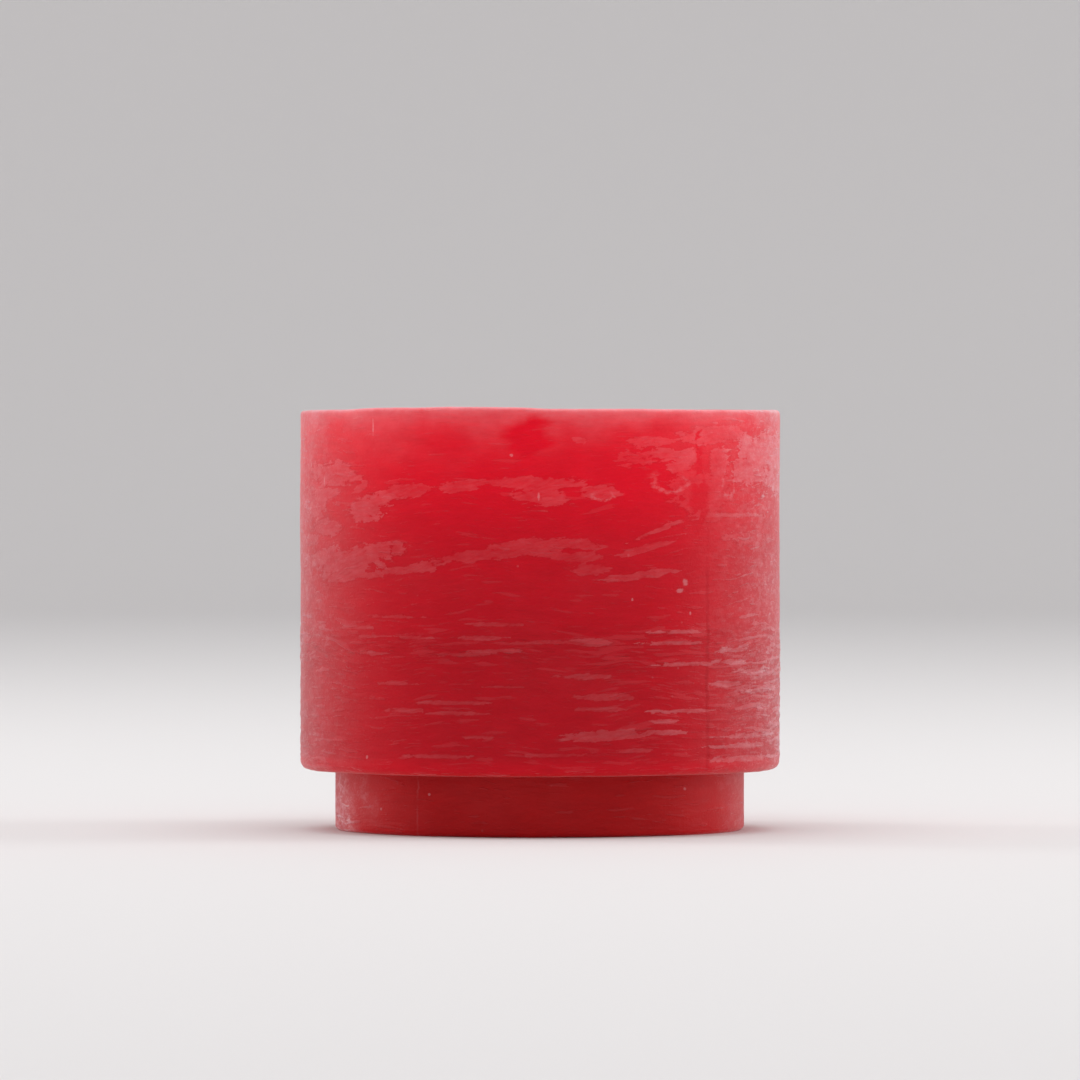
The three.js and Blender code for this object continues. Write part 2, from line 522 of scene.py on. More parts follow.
    def body(self, bench: Bench, seen: WaxFields, edge: Term, drum: Term) -> Term:
        """The colour of the wax under its frosting, with painted light and shade: lighter towards the top
        of the drum, darker on the foot, and painted shade under the strokes and in the creases.

        Args:
            bench: the material being made.
            seen: the shared fields.
            edge: the dark edges of the patches, partly deeper clear wax and partly painted shade.
            drum: 1 on the drum and 0 on the foot.

        Returns:
            The colour.
        """
        # painted light: the drum's colour goes lighter towards its top, where light falls
        rise = ((seen.height - 32 * MM) / (48 * MM)).clamped() ** 1.4
        # painted shade: the foot takes its darker colour
        body = bench.mix(drum, self.foot, bench.mix(rise, self.deep, self.bright))
        # painted shade under the level strokes and in the creases between them; the seam line and the
        # mottle are the wax's own tone
        shade = (0.62 - seen.flow).clamped() * 0.5 + (0.6 - seen.fibre).clamped() * 0.35
        shade = shade + self.drum_seam(bench, seen, drum) * 0.3
        crease_shade = (seen.fibre - (seen.fine - 0.5) * 0.2).step(0.38, 0.31)
        shade = (shade + crease_shade * seen.streak * 0.35) * (seen.streak * 0.8 + 0.35)
        shade = shade + seen.mottle.step(0.7, 0.25) * 0.10 + edge * 0.10
        return bench.mix(shade.clamped(), body, self.shadow)

    def material(self) -> bpy.types.Material:
        """The finished material; it reads the fields that the casting's mesh carries."""
        bench = Bench("red_wax")
        seen = self.read_fields(bench)
        drum = seen.height.step(self.shoulder, self.shoulder + MM)
        patch, edge = self.patches(seen)
        thread = self.threads(seen)
        pale = self.paleness(bench, seen, patch, thread, drum)
        roughness = 0.38 + patch * 0.16 + thread * 0.12 + seen.grain * 0.12 + seen.bloom * 0.12
        relief = seen.fine * 0.5 + seen.flow * 0.5 + seen.fibre * 0.35 + seen.grain * 0.25
        relief = relief + thread * 0.5 + patch * 0.2
        return bench.surface(
            # the frosting colour also paints sheen towards the sides and a highlight along the rim
            Base_Color=bench.mix(pale, self.body(bench, seen, edge, drum), self.frost_and_sheen_colour),
            Roughness=roughness.clamped(),
            Specular_IOR_Level=0.15,
            IOR=1.44,
            Subsurface_Weight=0.30,
            Subsurface_Radius=(1.0, 0.18, 0.12),
            Subsurface_Scale=2.4 * MM,
            Sheen_Weight=0.30,
            Sheen_Roughness=0.34,
            Sheen_Tint=(1.0, 0.92, 0.92, 1.0),
            # painted glow: emission that stands in for light shining through the wax
            Emission_Color=bench.mix(seen.glow, (0.0, 0.0, 0.0), self.glow),
            Emission_Strength=1.0,
            Normal=bench.bump(relief, 0.16 * MM),
        )


@dataclass(frozen=True)
class ClearGlass:
    """Clear pressed glass with a faint green cast and a little waviness."""

    tint: Colour = (0.95, 0.985, 0.97)
    smeared: Colour = (0.90, 0.94, 0.93)

    def material(self) -> bpy.types.Material:
        """The finished material."""
        bench = Bench("clear_glass")
        point = bench.place()
        wave = bench.noise(point, (7 * MM, 7 * MM, 5 * MM), 1.0)
        smear = bench.noise(point, 4 * MM, 4.0, 0.6).step(0.5, 0.8)
        return bench.surface(
            Base_Color=bench.mix(smear, self.tint, self.smeared),
            Roughness=smear * 0.05 + 0.015,
            IOR=1.51,
            Transmission_Weight=1.0,
            Normal=bench.bump(wave, 0.12 * MM),
        )


@dataclass(frozen=True)
class DrawnAluminium:
    """Thin drawn aluminium, bright, with draw lines and handling marks."""

    colour: Colour = (0.88, 0.885, 0.89)
    handled: Colour = (0.74, 0.74, 0.75)

    def material(self) -> bpy.types.Material:
        """The finished material."""
        bench = Bench("cup_aluminium")
        point = bench.place()
        lines = bench.noise(point, (0.35 * MM, 0.35 * MM, 9 * MM), 3.0, 0.6)
        marks = bench.noise(point, 3 * MM, 5.0, 0.65)
        dull = marks.step(0.5, 0.85)
        return bench.surface(
            Base_Color=bench.mix(dull * 0.4 + lines * 0.3, self.colour, self.handled),
            Metallic=1.0,
            Roughness=0.17 + dull * 0.10 + lines * 0.10,
            Normal=bench.bump(lines * 0.6 + marks * 0.3, 0.02 * MM),
        )


@dataclass(frozen=True)
class WhiteWax:
    """White tea-light wax: glossy where it melted round the wick, cloudy towards the cup."""

    pool_radius: float
    colour: Colour = (0.90, 0.875, 0.81)
    cloudy: Colour = (0.955, 0.94, 0.90)
    sooty: Colour = (0.42, 0.36, 0.27)

    def material(self) -> bpy.types.Material:
        """The finished material."""
        bench = Bench("white_wax")
        point = bench.place()
        x, y, _ = bench.axes(point)
        radius = (x * x + y * y) ** 0.5
        mottle = bench.noise(point, 2.6 * MM, 5.0, 0.6)
        crystals = bench.cells(point, 1.1 * MM).step(0.1, 0.6)
        pool = (radius + (mottle - 0.5) * (3 * MM)).step(self.pool_radius, self.pool_radius - 2 * MM)
        soot = (radius + (mottle - 0.5) * (2 * MM)).step(3.2 * MM, 0.9 * MM)
        milky = (mottle.step(0.3, 0.7) * 0.6 + crystals * 0.3) * (1 - pool)
        body = bench.mix(milky, self.colour, self.cloudy)
        body = bench.mix(soot * 0.35, body, self.sooty)
        return bench.surface(
            Base_Color=body,
            Roughness=0.42 + mottle * 0.18 - pool * 0.26,
            IOR=1.44,
            Subsurface_Weight=0.35,
            Subsurface_Radius=(1.0, 0.8, 0.55),
            Subsurface_Scale=2.5 * MM,
            Normal=bench.bump((mottle * 0.8 + crystals * 0.25) * (1 - pool * 0.8), 0.12 * MM),
        )


@dataclass(frozen=True)
class BraidedCotton:
    """Waxed cotton braid, charred at its tip."""

    leaves_wax: float
    tip: float
    cotton: Colour = (0.83, 0.78, 0.66)
    waxed: Colour = (0.70, 0.62, 0.47)
    singed: Colour = (0.30, 0.19, 0.10)
    char: Colour = (0.018, 0.015, 0.013)

    def material(self) -> bpy.types.Material:
        """The finished material."""
        bench = Bench("wick_cotton")
        point = bench.place()
        height = bench.axes(point)[2]
        fibres = bench.noise(point, (0.16 * MM, 0.16 * MM, 0.5 * MM), 4.0, 0.6)
        groove = bench.painted("groove")
        burn = (height + (fibres - 0.5) * (1.6 * MM)).step(self.tip - 5.0 * MM, self.tip - 2.6 * MM)
        singe = height.step(self.leaves_wax + 1.0 * MM, self.tip - 3.4 * MM)
        body = bench.mix(groove * 0.6 + fibres * 0.3, self.cotton, self.waxed)
        body = bench.mix(singe * 0.75, body, self.singed)
        return bench.surface(
            Base_Color=bench.mix(burn, body, self.char),
            Roughness=0.62 + fibres * 0.25 + burn * 0.1,
            Sheen_Weight=0.25,
            Sheen_Roughness=0.5,
            Normal=bench.bump(fibres, 0.06 * MM),
        )


@dataclass(frozen=True)
class Tinplate:
    """Thin tinned steel sheet with rolling lines."""

    colour: Colour = (0.72, 0.72, 0.72)
    lined: Colour = (0.56, 0.56, 0.57)

    def material(self) -> bpy.types.Material:
        """The finished material."""
        bench = Bench("tinned_steel")
        point = bench.place()
        rolled = bench.noise(point, (6 * MM, 0.12 * MM, 6 * MM), 3.0, 0.6)
        spangle = bench.cells(point, 1.4 * MM, "Color")
        return bench.surface(
            Base_Color=bench.mix(rolled * 0.5, self.colour, self.lined),
            Metallic=1.0,
            Roughness=0.24 + rolled * 0.16 + bench.axes(spangle)[0] * 0.08,
            Normal=bench.bump(rolled, 0.02 * MM),
        )


@dataclass(frozen=True)
class PaleBoard:
    """The matt pale board that the holder stands on."""

    colour: Colour = (0.78, 0.76, 0.755)
    tooth: Colour = (0.70, 0.68, 0.67)

    def material(self) -> bpy.types.Material:
        """The finished material."""
        bench = Bench("pale_board")
        tooth = bench.noise(bench.place(), 1.2 * MM, 2.0)
        return bench.surface(
            Base_Color=bench.mix(tooth * 0.06, self.colour, self.tooth),
            Roughness=0.85,
            Specular_IOR_Level=0.2,
            Normal=bench.bump(tooth, 0.02 * MM),
        )


# ---------------------------------------------------------------------------------------------
# Turned shapes
# ---------------------------------------------------------------------------------------------


def new_piece(
    name: str, points: np.ndarray, faces: list[list[int]], fields: dict[str, np.ndarray]
) -> bpy.types.Object:
    """Makes an object with smooth faces and links it into the scene.

    Args:
        name: the object's name.
        points: its points, one in each row.
        faces: its faces, as lists of the points' numbers.
        fields: values for each point, by name, that the material reads.

    Returns:
        The object.
    """
    mesh = bpy.data.meshes.new(name)
    mesh.from_pydata(points.tolist(), [], faces)
    for field_name, values in fields.items():
        attribute = mesh.attributes.new(field_name, "FLOAT", "POINT")
        attribute.data.foreach_set("value", values.astype(np.float32))
    mesh.polygons.foreach_set("use_smooth", [True] * len(mesh.polygons))
    made = bpy.data.objects.new(name, mesh)
    bpy.context.scene.collection.objects.link(made)
    return made


@dataclass(frozen=True)
class Corner:
    """A corner of an outline in the r-z plane, with the spacing of the rows that follow it."""

    radius: float
    height: float
    round: float = 0.0
    spacing: float = 1.0 * MM


@dataclass
class Turned:
    """A body of revolution about Z, as a grid of rows along its outline and columns round it.

    The outline runs anticlockwise in the r-z plane. It starts and ends on the axis, or goes round
    a bore and closes on itself.
    """

    corners: list[Corner]
    columns: int
    closed: bool = False
    arc_rows: int = 6
    outline: np.ndarray = field(init=False)

    def __post_init__(self) -> None:
        """Works out the outline's rows."""
        stretches = [self.arc(i) for i in range(len(self.corners))]
        rows: list[np.ndarray] = []
        last = len(stretches) if self.closed else len(stretches) - 1
        for i, stretch in enumerate(stretches):
            rows.extend(stretch)
            if i < last:
                start, end = stretch[-1], stretches[(i + 1) % len(stretches)][0]
                count = max(1, round(float(np.hypot(*(end - start))) / self.corners[i].spacing))
                rows.extend(start + (end - start) * k / count for k in range(1, count))
        self.outline = np.array(rows)

    def arc(self, index: int) -> list[np.ndarray]:
        """The rows of one corner: its point, or the tangent arc that rounds it.

        Args:
            index: the corner's number.

        Returns:
            Its rows, in order.
        """
        corner = self.corners[index]
        at = np.array([corner.radius, corner.height])
        if not corner.round:
            return [at]
        before, after = (self.corners[(index + k) % len(self.corners)] for k in (-1, 1))
        back = np.array([before.radius, before.height]) - at
        ahead = np.array([after.radius, after.height]) - at
        back, ahead = back / np.hypot(*back), ahead / np.hypot(*ahead)
        half = math.acos(float(np.clip(back @ ahead, -1, 1))) / 2
        middle = (back + ahead) / np.hypot(*(back + ahead))
        centre = at + middle * corner.round / math.sin(half)
        spoke = at + back * corner.round / math.tan(half) - centre
        turn = (math.pi - 2 * half) * -np.sign(back[0] * ahead[1] - back[1] * ahead[0])
        rows = []
        for k in range(self.arc_rows + 1):
            c, s = math.cos(turn * k / self.arc_rows), math.sin(turn * k / self.arc_rows)
            rows.append(centre + np.array([c * spoke[0] - s * spoke[1], s * spoke[0] + c * spoke[1]]))
        return rows

    def angles(self) -> np.ndarray:
        """The columns' angles from the front, towards +X."""
        return np.arange(self.columns) * 2 * math.pi / self.columns

    def normals(self) -> np.ndarray:
        """The outline's outward normal at each row, as (radial, upward) pairs."""
        ahead = np.roll(self.outline, -1, axis=0) - self.outline
        behind = self.outline - np.roll(self.outline, 1, axis=0)
        if not self.closed:
            ahead[-1], behind[0] = behind[-1], ahead[0]
        lengths = [np.maximum(np.hypot(*d.T), 1e-12)[:, None] for d in (ahead, behind)]
        along = ahead / lengths[0] + behind / lengths[1]
        along /= np.maximum(np.hypot(*along.T), 1e-12)[:, None]
        return np.stack([along[:, 1], -along[:, 0]], axis=1)

    def grid(self, proud: np.ndarray | float = 0.0) -> np.ndarray:
        """The surface's points.

        Args:
            proud: how far each row, or each point, stands proud along the outline's normal.

        Returns:
            An array of rows, columns and coordinates.
        """
        angle = self.angles()[None, :]
        proud = np.broadcast_to(np.asarray(proud, float), (len(self.outline), self.columns))
        normal = self.normals()
        radius = self.outline[:, :1] + normal[:, :1] * proud
        height = self.outline[:, 1:] + normal[:, 1:] * proud
        radius = np.where(self.outline[:, :1] < ON_AXIS, 0.0, radius)
        return np.stack([radius * np.sin(angle), -radius * np.cos(angle), height], axis=2)

    def piece(
        self, name: str, points: np.ndarray, fields: dict[str, np.ndarray] | None = None
    ) -> bpy.types.Object:
        """Makes the object.

        Args:
            name: the piece's name.
            points: its grid of points.
            fields: values for each point, by name, that the material reads.

        Returns:
            The object, with smooth faces and sharp corners.
        """
        rows, columns = points.shape[:2]
        poles = [r for r in (0, rows - 1) if not self.closed and self.outline[r, 0] < ON_AXIS]
        number = np.arange(rows * columns).reshape(rows, columns)
        for pole in poles:
            number[pole] = number[pole, 0]
        kept, packed = np.unique(number, return_inverse=True)
        number = packed.reshape(rows, columns)
        lower = number if self.closed else number[:-1]
        upper = np.roll(number, -1, axis=0) if self.closed else number[1:]
        quads = np.stack([lower, np.roll(lower, -1, axis=1), np.roll(upper, -1, axis=1), upper], axis=2)
        faces = [list(dict.fromkeys(face)) for face in quads.reshape(-1, 4).tolist()]
        carried = {key: values.reshape(-1)[kept] for key, values in (fields or {}).items()}
        made = new_piece(name, points.reshape(-1, 3)[kept], faces, carried)
        made.data.set_sharp_from_angle(angle=SHARP_EDGE)
        return made


def dress(piece: bpy.types.Object, finish: bpy.types.Material, body: str, node: str) -> None:
    """Gives a piece its material and says what it stands for.

    Args:
        piece: the object.
        finish: its material.
        body: the body that it rides on.
        node: the part's node that it replaces.
    """
    piece.data.materials.append(finish)
    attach(piece, body)
    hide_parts(node)
    LOG.info("%s: %d faces, rides on %s, stands for %s", piece.name, len(piece.data.polygons), body, node)


class Noise:
    """Seeded gradient noise in three dimensions, read at arrays of points."""

    def __init__(self, seed: int) -> None:
        """Draws the lattice's slopes."""
        draw = np.random.default_rng(seed)
        self.order = draw.permutation(256)
        slopes = draw.normal(size=(256, 3))
        self.slopes = slopes / np.linalg.norm(slopes, axis=1, keepdims=True)

    def single(self, points: np.ndarray) -> np.ndarray:
        """One layer of noise, about -1 to 1.

        Args:
            points: an array whose last axis is x, y, z, in units of the features' size.

        Returns:
            The noise at each point.
        """
        cell = np.floor(points).astype(int)
        part = points - cell
        ease = part**3 * (part * (part * 6 - 15) + 10)
        total = np.zeros(points.shape[:-1])
        for corner in itertools.product((0, 1), repeat=3):
            x, y, z = np.moveaxis((cell + corner) & 255, -1, 0)
            key = self.order[(self.order[(self.order[x] + y) & 255] + z) & 255]
            reach = ((part - corner) * self.slopes[key]).sum(-1)
            total += reach * np.where(corner, ease, 1 - ease).prod(-1)
        return total * 1.8

    def layered(self, points: np.ndarray, layers: int = 3) -> np.ndarray:
        """Several layers, each twice as fine and half as strong as the one before."""
        return sum(self.single(points * 2**k + 17.3 * k) / 2**k for k in range(layers))


def ramp(values: np.ndarray, low: float, high: float) -> np.ndarray:
    """Rises smoothly from 0 at low to 1 at high, or falls where high is under low."""
    share = np.clip((values - low) / (high - low), 0, 1)
    return share * share * (3 - 2 * share)


# ---------------------------------------------------------------------------------------------
# The wax casting
# ---------------------------------------------------------------------------------------------


class Mark(Enum):
    """What a mark on the casting's wall is."""

    CLOUD = "a pale patch of frosted wax"
    CLEAR = "a patch of clear, deep wax"
    SWELL = "a patch that stands proud"


@dataclass(frozen=True)
class WallMark:
    """An uneven oval on the wall: its place, its half width and half height, and its slope.

    Its strength is how pale a patch is, how clear a clear patch is, or how many millimetres a
    swelling stands proud.
    """

    kind: Mark
    angle: float
    height: float
    reach: float
    rise: float
    strength: float
    slope: float = 0.0


def wall_marks(kind: Mark, rows: list[Row]) -> list[WallMark]:
    """Makes marks of one kind.

    Args:
        kind: what they are.
        rows: for each, its angle in degrees, its height, half width and half height in
            millimetres, its strength, and its slope if it has one.

    Returns:
        The marks, in order.
    """
    return [WallMark(kind, row[0], *(size * MM for size in row[1:4]), *row[4:]) for row in rows]


FRONT_CLOUDS = (
    (-60, 70.2, 10, 2.4, 1.5, -0.05),
    (-73, 64.0, 8, 4.0, 1.2),
    (-62, 66.6, 5, 1.0, 1.3, 0.1),
    (-70, 57.4, 4, 1.2, 1.4),
    (-52, 50.4, 9, 0.9, 1.2, 0.06),
    (-44, 64.0, 5.4, 2.7, 1.5, 0.25),
    (-62, 60.2, 7, 1.8, 1.3),
    (-47, 68.0, 2.2, 0.9, 0.9, 0.4),
    (-31, 67.4, 6, 1.2, 0.9, 0.05),
    (-18, 68.0, 6, 1.2, 0.9, 0.05),
    (-3, 68.6, 11, 1.3, 0.9),
    (0.5, 65.8, 5.5, 2.2, 0.95, -0.05),
    (14, 66.6, 3.6, 1.3, 0.9),
    (23, 73.0, 5, 2.2, 0.6),
    (9.6, 76.9, 1.6, 0.9, 0.8),
    (-54, 53.6, 15, 2.8, 1.3, 0.05),
    (-38, 55.5, 5, 1.6, 1.1),
    (-32, 52.0, 7, 1.1, 0.9, 0.12),
    (-15, 54.8, 8, 1.2, 0.65, 0.08),
    (-4, 56.0, 7, 1.9, 0.75, 0.14),
    (9, 57.0, 5, 1.0, 0.65, -0.10),
    (9, 54.4, 5, 0.9, 0.65),
    (12, 52.0, 4, 1.0, 0.65),
    (28, 59.3, 6, 0.6, 1.1, 0.35),
    (26, 56.2, 6, 0.7, 0.7, 0.25),
    (26, 50.9, 8, 0.7, 1.0, 0.10),
    (30, 74.4, 4, 1.2, 1.2),
    (37, 73.6, 3, 1.7, 1.5),
    (34, 71.7, 2.6, 0.9, 1.1),
    (26, 76.6, 6, 0.9, 0.8),
    (46.5, 72.0, 2.8, 3.6, 1.2),
    (41.5, 66.4, 7.5, 5.4, 0.6),
    (45, 78.0, 9, 1.8, 1.0),
    (68, 75.2, 14, 3.4, 3.0),
    (59, 71.2, 7, 2.6, 2.2),
    (79, 71.6, 11, 6.0, 3.0),
    (53, 62.4, 11, 0.45, 1.7),
    (62, 57.5, 10, 1.4, 0.9, -0.03),
    (-78, 49.0, 7, 6.0, 1.1),
    (16, 19.8, 9, 1.0, 1.0, 0.04),
    (-86, 38.0, 6, 4.0, 1.2),
)


FRONT_CLEARS = (
    (-2.6, 77.4, 4.6, 4.0, 1.7),
    (-17, 75.5, 12, 2.6, 0.45),
    (4, 73.0, 16, 3.0, 0.7),
    (-14, 62.4, 21, 3.0, 1.0),
    (16, 61.8, 13, 2.6, 0.9),
    (24, 71.0, 4.6, 4.0, 1.0),
    (29.6, 70.2, 2.6, 1.6, 1.2),
    (-37.5, 56.0, 0.9, 2.2, 1.0),
)


FRONT_SWELLS = (
    (70, 72.4, 10, 6.0, 0.30),
    (31, 69.6, 4.6, 2.4, 0.12),
    (50.5, 68.6, 1.8, 2.9, 0.15),
)


LEVEL_STROKES = (
    (-36, 42.8, 6, 0.30, 0.8),
    (-48, 40.6, 5, 0.40, 1.0),
    (-42, 38.9, 6, 0.35, 0.9),
    (-30, 38.7, 4, 0.35, 0.8),
    (-10, 41.4, 7, 0.40, 0.8),
    (-14, 38.8, 6, 0.55, 0.8),
    (-11, 36.3, 6, 0.40, 0.8),
    (1, 37.9, 6, 0.35, 0.6),
    (12, 37.8, 4.5, 0.65, 0.9),
    (-20, 35.5, 8, 0.25, 0.7),
    (-43, 35.6, 5, 0.35, 0.9),
    (34, 39.8, 6.6, 0.35, 1.9),
    (32, 37.6, 7.6, 0.40, 1.9),
    (54, 36.1, 5, 0.65, 2.4),
    (51, 33.8, 6, 0.50, 2.2),
    (35, 33.5, 6.2, 0.40, 1.9),
    (63, 32.0, 8.5, 0.45, 2.2),
    (11, 31.4, 5, 0.45, 0.7),
    (-36, 29.8, 5, 0.30, 0.8),
    (50, 29.6, 4.6, 0.60, 2.2),
    (-8, 29.4, 4.5, 0.30, 0.7),
    (64, 28.0, 7.5, 0.50, 2.2),
    (15, 27.4, 6.5, 0.70, 0.7),
    (-20, 26.2, 8, 0.40, 0.8),
    (14, 25.0, 4.5, 0.40, 0.7),
    (-34, 24.7, 5.5, 0.35, 0.8),
    (37, 24.5, 9.8, 0.40, 1.9),
    (68, 24.7, 4, 0.40, 2.0),
    (-20, 24.2, 8, 0.35, 0.8),
    (30, 22.6, 3.4, 0.35, 1.7),
    (30, 20.4, 5.6, 0.55, 1.8),
    (-15, 19.6, 4, 0.30, 0.7),
    (61, 19.3, 12, 0.55, 2.2),
    (58, 17.4, 12, 0.50, 2.2),
    (22, 17.0, 5, 0.40, 0.8),
    (5, 16.2, 5, 0.40, 0.6),
    (-24, 15.9, 6, 0.40, 0.8),
    (58, 14.9, 12, 0.60, 2.0),
)


BACK_LEVELS = [70, 67, 56, 53, 50]
BACK_CLEARS = ((120, 63), (165, 62), (215, 64), (250, 60), (185, 76))


@dataclass
class WaxCasting:
    """The red wax casting: a drum on a narrower foot, with a socket, a ledge and a pocket."""

    drum_radius: float
    rim_height: float
    foot_height: float
    socket_floor: float
    flange_radius: float
    flange_foot: float
    pocket_floor: float
    glass_radius: float
    shoulder: float = 7 * MM
    socket_gap: float = 1 * MM
    pocket_gap: float = POCKET_GAP
    back_clouds: int = 30
    columns: int = 280
    seed: int = 11

    def __post_init__(self) -> None:
        """Works out the shape and where its points are."""
        self.foot_radius = self.drum_radius - self.shoulder
        self.socket_radius = self.foot_radius + self.socket_gap
        self.turned = Turned(self.corners(), self.columns)
        self.points = self.turned.grid()
        self.noise = Noise(self.seed)
        outline = self.turned.outline
        self.height = np.broadcast_to(outline[:, 1:], self.points.shape[:2])
        self.wall = ramp(outline[:, :1], self.drum_radius - 2.4 * MM, self.drum_radius - 0.9 * MM)
        self.foot = ramp(outline[:, :1], self.foot_radius - 1.5 * MM, self.foot_radius - 0.6 * MM)
        self.foot = self.foot * (outline[:, 1:] < self.foot_height - 0.1 * MM)
        self.angle = np.broadcast_to(self.turned.angles()[None, :], self.points.shape[:2])
        self.degrees = np.degrees((self.angle + math.pi) % (2 * math.pi) - math.pi)
        self.ragged = self.noise.layered(self.points / np.array([6 * MM, 6 * MM, 2.5 * MM]), 3) * 0.35
        self.slow = self.noise.layered(self.points / (16 * MM), 2)
        self.cloudy = sum(self.noise.layered(self.points / s, 3) * 0.5 for s in (9 * MM, 20 * MM))
        self.millimetres = self.height / MM
        self.first_inside = int(np.argmax(outline[:, 1])) + 1
        self.inside = (np.arange(len(outline)) >= self.first_inside)[:, None]

    def corners(self) -> list[Corner]:
        """The casting's outline."""
        ledge_radius = self.flange_radius + self.pocket_gap
        pocket_radius = self.glass_radius + self.pocket_gap
        return [
            Corner(0.0, 0.0, spacing=4 * MM),
            Corner(self.foot_radius, 0.0, 1.0 * MM, 0.5 * MM),
            Corner(self.foot_radius, self.foot_height, 0.4 * MM, 1.2 * MM),
            Corner(self.drum_radius, self.foot_height, 1.8 * MM, 0.37 * MM),
            Corner(self.drum_radius, self.rim_height, 0.8 * MM, 0.6 * MM),
            Corner(self.socket_radius, self.rim_height, 1.0 * MM, 0.7 * MM),
            Corner(self.socket_radius, self.socket_floor, 1.5 * MM, 1.3 * MM),
            Corner(ledge_radius, self.socket_floor, 0.3 * MM, 0.8 * MM),
            Corner(ledge_radius, self.flange_foot, spacing=1.5 * MM),
            Corner(pocket_radius, self.flange_foot, 0.3 * MM, 3 * MM),
            Corner(pocket_radius, self.pocket_floor, 1.0 * MM, 4 * MM),
            Corner(0.0, self.pocket_floor),
        ]

    def warped(self, across: float, up: float, bend: float = 0.0) -> np.ndarray:
        """The points in units of a feature's size, bent by slow noise.

        Args:
            across: the feature's width, in metres.
            up: its height, in metres.
            bend: how far the noise bends it, in heights of the feature.

        Returns:
            The points for Noise.
        """
        scaled = self.points / np.array([across, across, up])
        return scaled + np.array([0.0, 0.0, bend]) * self.slow[..., None]

    def spread(self, mark: WallMark) -> np.ndarray:
        """How strongly a mark covers each point, from 0 to 1.

        Args:
            mark: the mark.

        Returns:
            The cover at each point.
        """
        turn = (self.angle - math.radians(mark.angle) + math.pi) % (2 * math.pi) - math.pi
        across = turn * self.drum_radius
        up = self.height - mark.height - across * mark.slope
        away = np.hypot(across / mark.reach, up / mark.rise) + self.ragged
        return np.clip(1.3 - away, 0, 1) * self.wall

    def all_marks(self) -> list[WallMark]:
        """The marks on the front, and others of the same sort scattered over the back."""
        draw = np.random.default_rng(self.seed + 1)
        clouds = [*FRONT_CLOUDS, *LEVEL_STROKES]
        for _ in range(self.back_clouds):
            angle, height = draw.uniform(96, 264), draw.choice(BACK_LEVELS) + draw.normal(0, 1.5)
            reach, rise = draw.uniform(4, 14), draw.uniform(1.0, 2.8)
            clouds.append((angle, height, reach, rise, draw.uniform(0.4, 1.1), draw.normal(0, 0.09)))
        clears = [*FRONT_CLEARS, *((*place, 15, 2.6, 0.8) for place in BACK_CLEARS)]
        rows = {Mark.CLOUD: clouds, Mark.CLEAR: clears, Mark.SWELL: FRONT_SWELLS}
        return [mark for kind in Mark for mark in wall_marks(kind, rows[kind])]

    def wrinkle_density(self) -> np.ndarray:
        """Where the wall is wrinkled: low down, most of all to the right, and in one thin band."""
        degrees = self.degrees
        band = np.exp(-(((self.millimetres - 36.5) / 3.2) ** 2)) * 0.75
        low = ramp(self.millimetres, 46, 34)
        right = ramp(degrees, 2, 30) * ramp(degrees, 150, 110)
        left = ramp(degrees, -40, -70) * ramp(degrees, -160, -120)
        back = ramp(np.abs(degrees), 120, 150)
        patchy = ramp(self.noise.layered(self.points / (22 * MM), 2), -0.5, 0.5)
        density = band + low * (0.22 + right * 0.75 + left * 0.45 + back * 0.6) * (0.55 + 0.6 * patchy)
        return np.clip(density + 0.06, 0, 1) * self.wall

    def wrinkles(self) -> np.ndarray:
        """The wrinkles themselves: long, low, level waves, about -1 to 1."""
        long = self.noise.layered(self.warped(11 * MM, 1.6 * MM, 0.8), 2)
        short = self.noise.layered(self.warped(6 * MM, 1.0 * MM, 0.8), 2)
        return long * 0.7 + short * 0.4

    def rim_wave(self) -> np.ndarray:
        """How far the rim stands above its level, as a casting's poured top does."""
        ring = np.stack([np.sin(self.angle), np.cos(self.angle), 0 * self.angle], axis=-1)
        wave = self.noise.layered(ring * 2.2, 3) * 0.10 * MM
        left = ramp(self.degrees, -56, -46) * ramp(self.degrees, 3, -7) * 0.28 * MM
        return (wave + left) * ramp(self.height, self.rim_height - 2.5 * MM, self.rim_height)

    def proud(self) -> np.ndarray:
        """How far each point stands proud of the plain turned shape, in metres."""
        slow = self.noise.layered(self.points / (24 * MM), 2) * 0.10 * MM
        skin = self.noise.layered(self.warped(7 * MM, 3 * MM), 2) * 0.03 * MM
        folds = self.wrinkles() * self.wrinkle_density() * 0.22 * MM
        swells = sum(self.spread(m) * m.strength * MM for m in self.all_marks() if m.kind is Mark.SWELL)
        outer = (slow + skin) * np.maximum(self.wall, self.foot) + folds + swells
        socket = (self.height > self.socket_floor - 0.2 * MM) & self.inside
        edge = ramp(self.turned.outline[:, :1], self.flange_radius + MM, self.flange_radius + 4 * MM)
        return outer + (slow * 0.5 + skin) * socket * edge

    def covers(self) -> tuple[np.ndarray, np.ndarray, np.ndarray]:
        """The covers of the marks.

        Returns:
            At each point, how strongly pale patches cover it, how strongly clear wax does, and
            how pale its patches are.
        """
        cloud, clear, weighed = (np.zeros_like(self.angle) for _ in range(3))
        weight = np.full_like(self.angle, 1e-4)
        for mark in self.all_marks():
            cover = self.spread(mark)
            if mark.kind is Mark.CLEAR:
                clear = np.maximum(clear, cover * mark.strength)
            elif mark.kind is Mark.CLOUD:
                cloud = np.maximum(cloud, cover)
                weight, weighed = weight + cover**3, weighed + cover**3 * mark.strength
        return cloud, np.clip(clear, 0, 1), weighed / weight

    def bloom(self) -> np.ndarray:
        """The pale towards the casting's sides, on the drum and on the foot: partly real frosting and
        partly painted sheen.
        """
        degrees = self.degrees
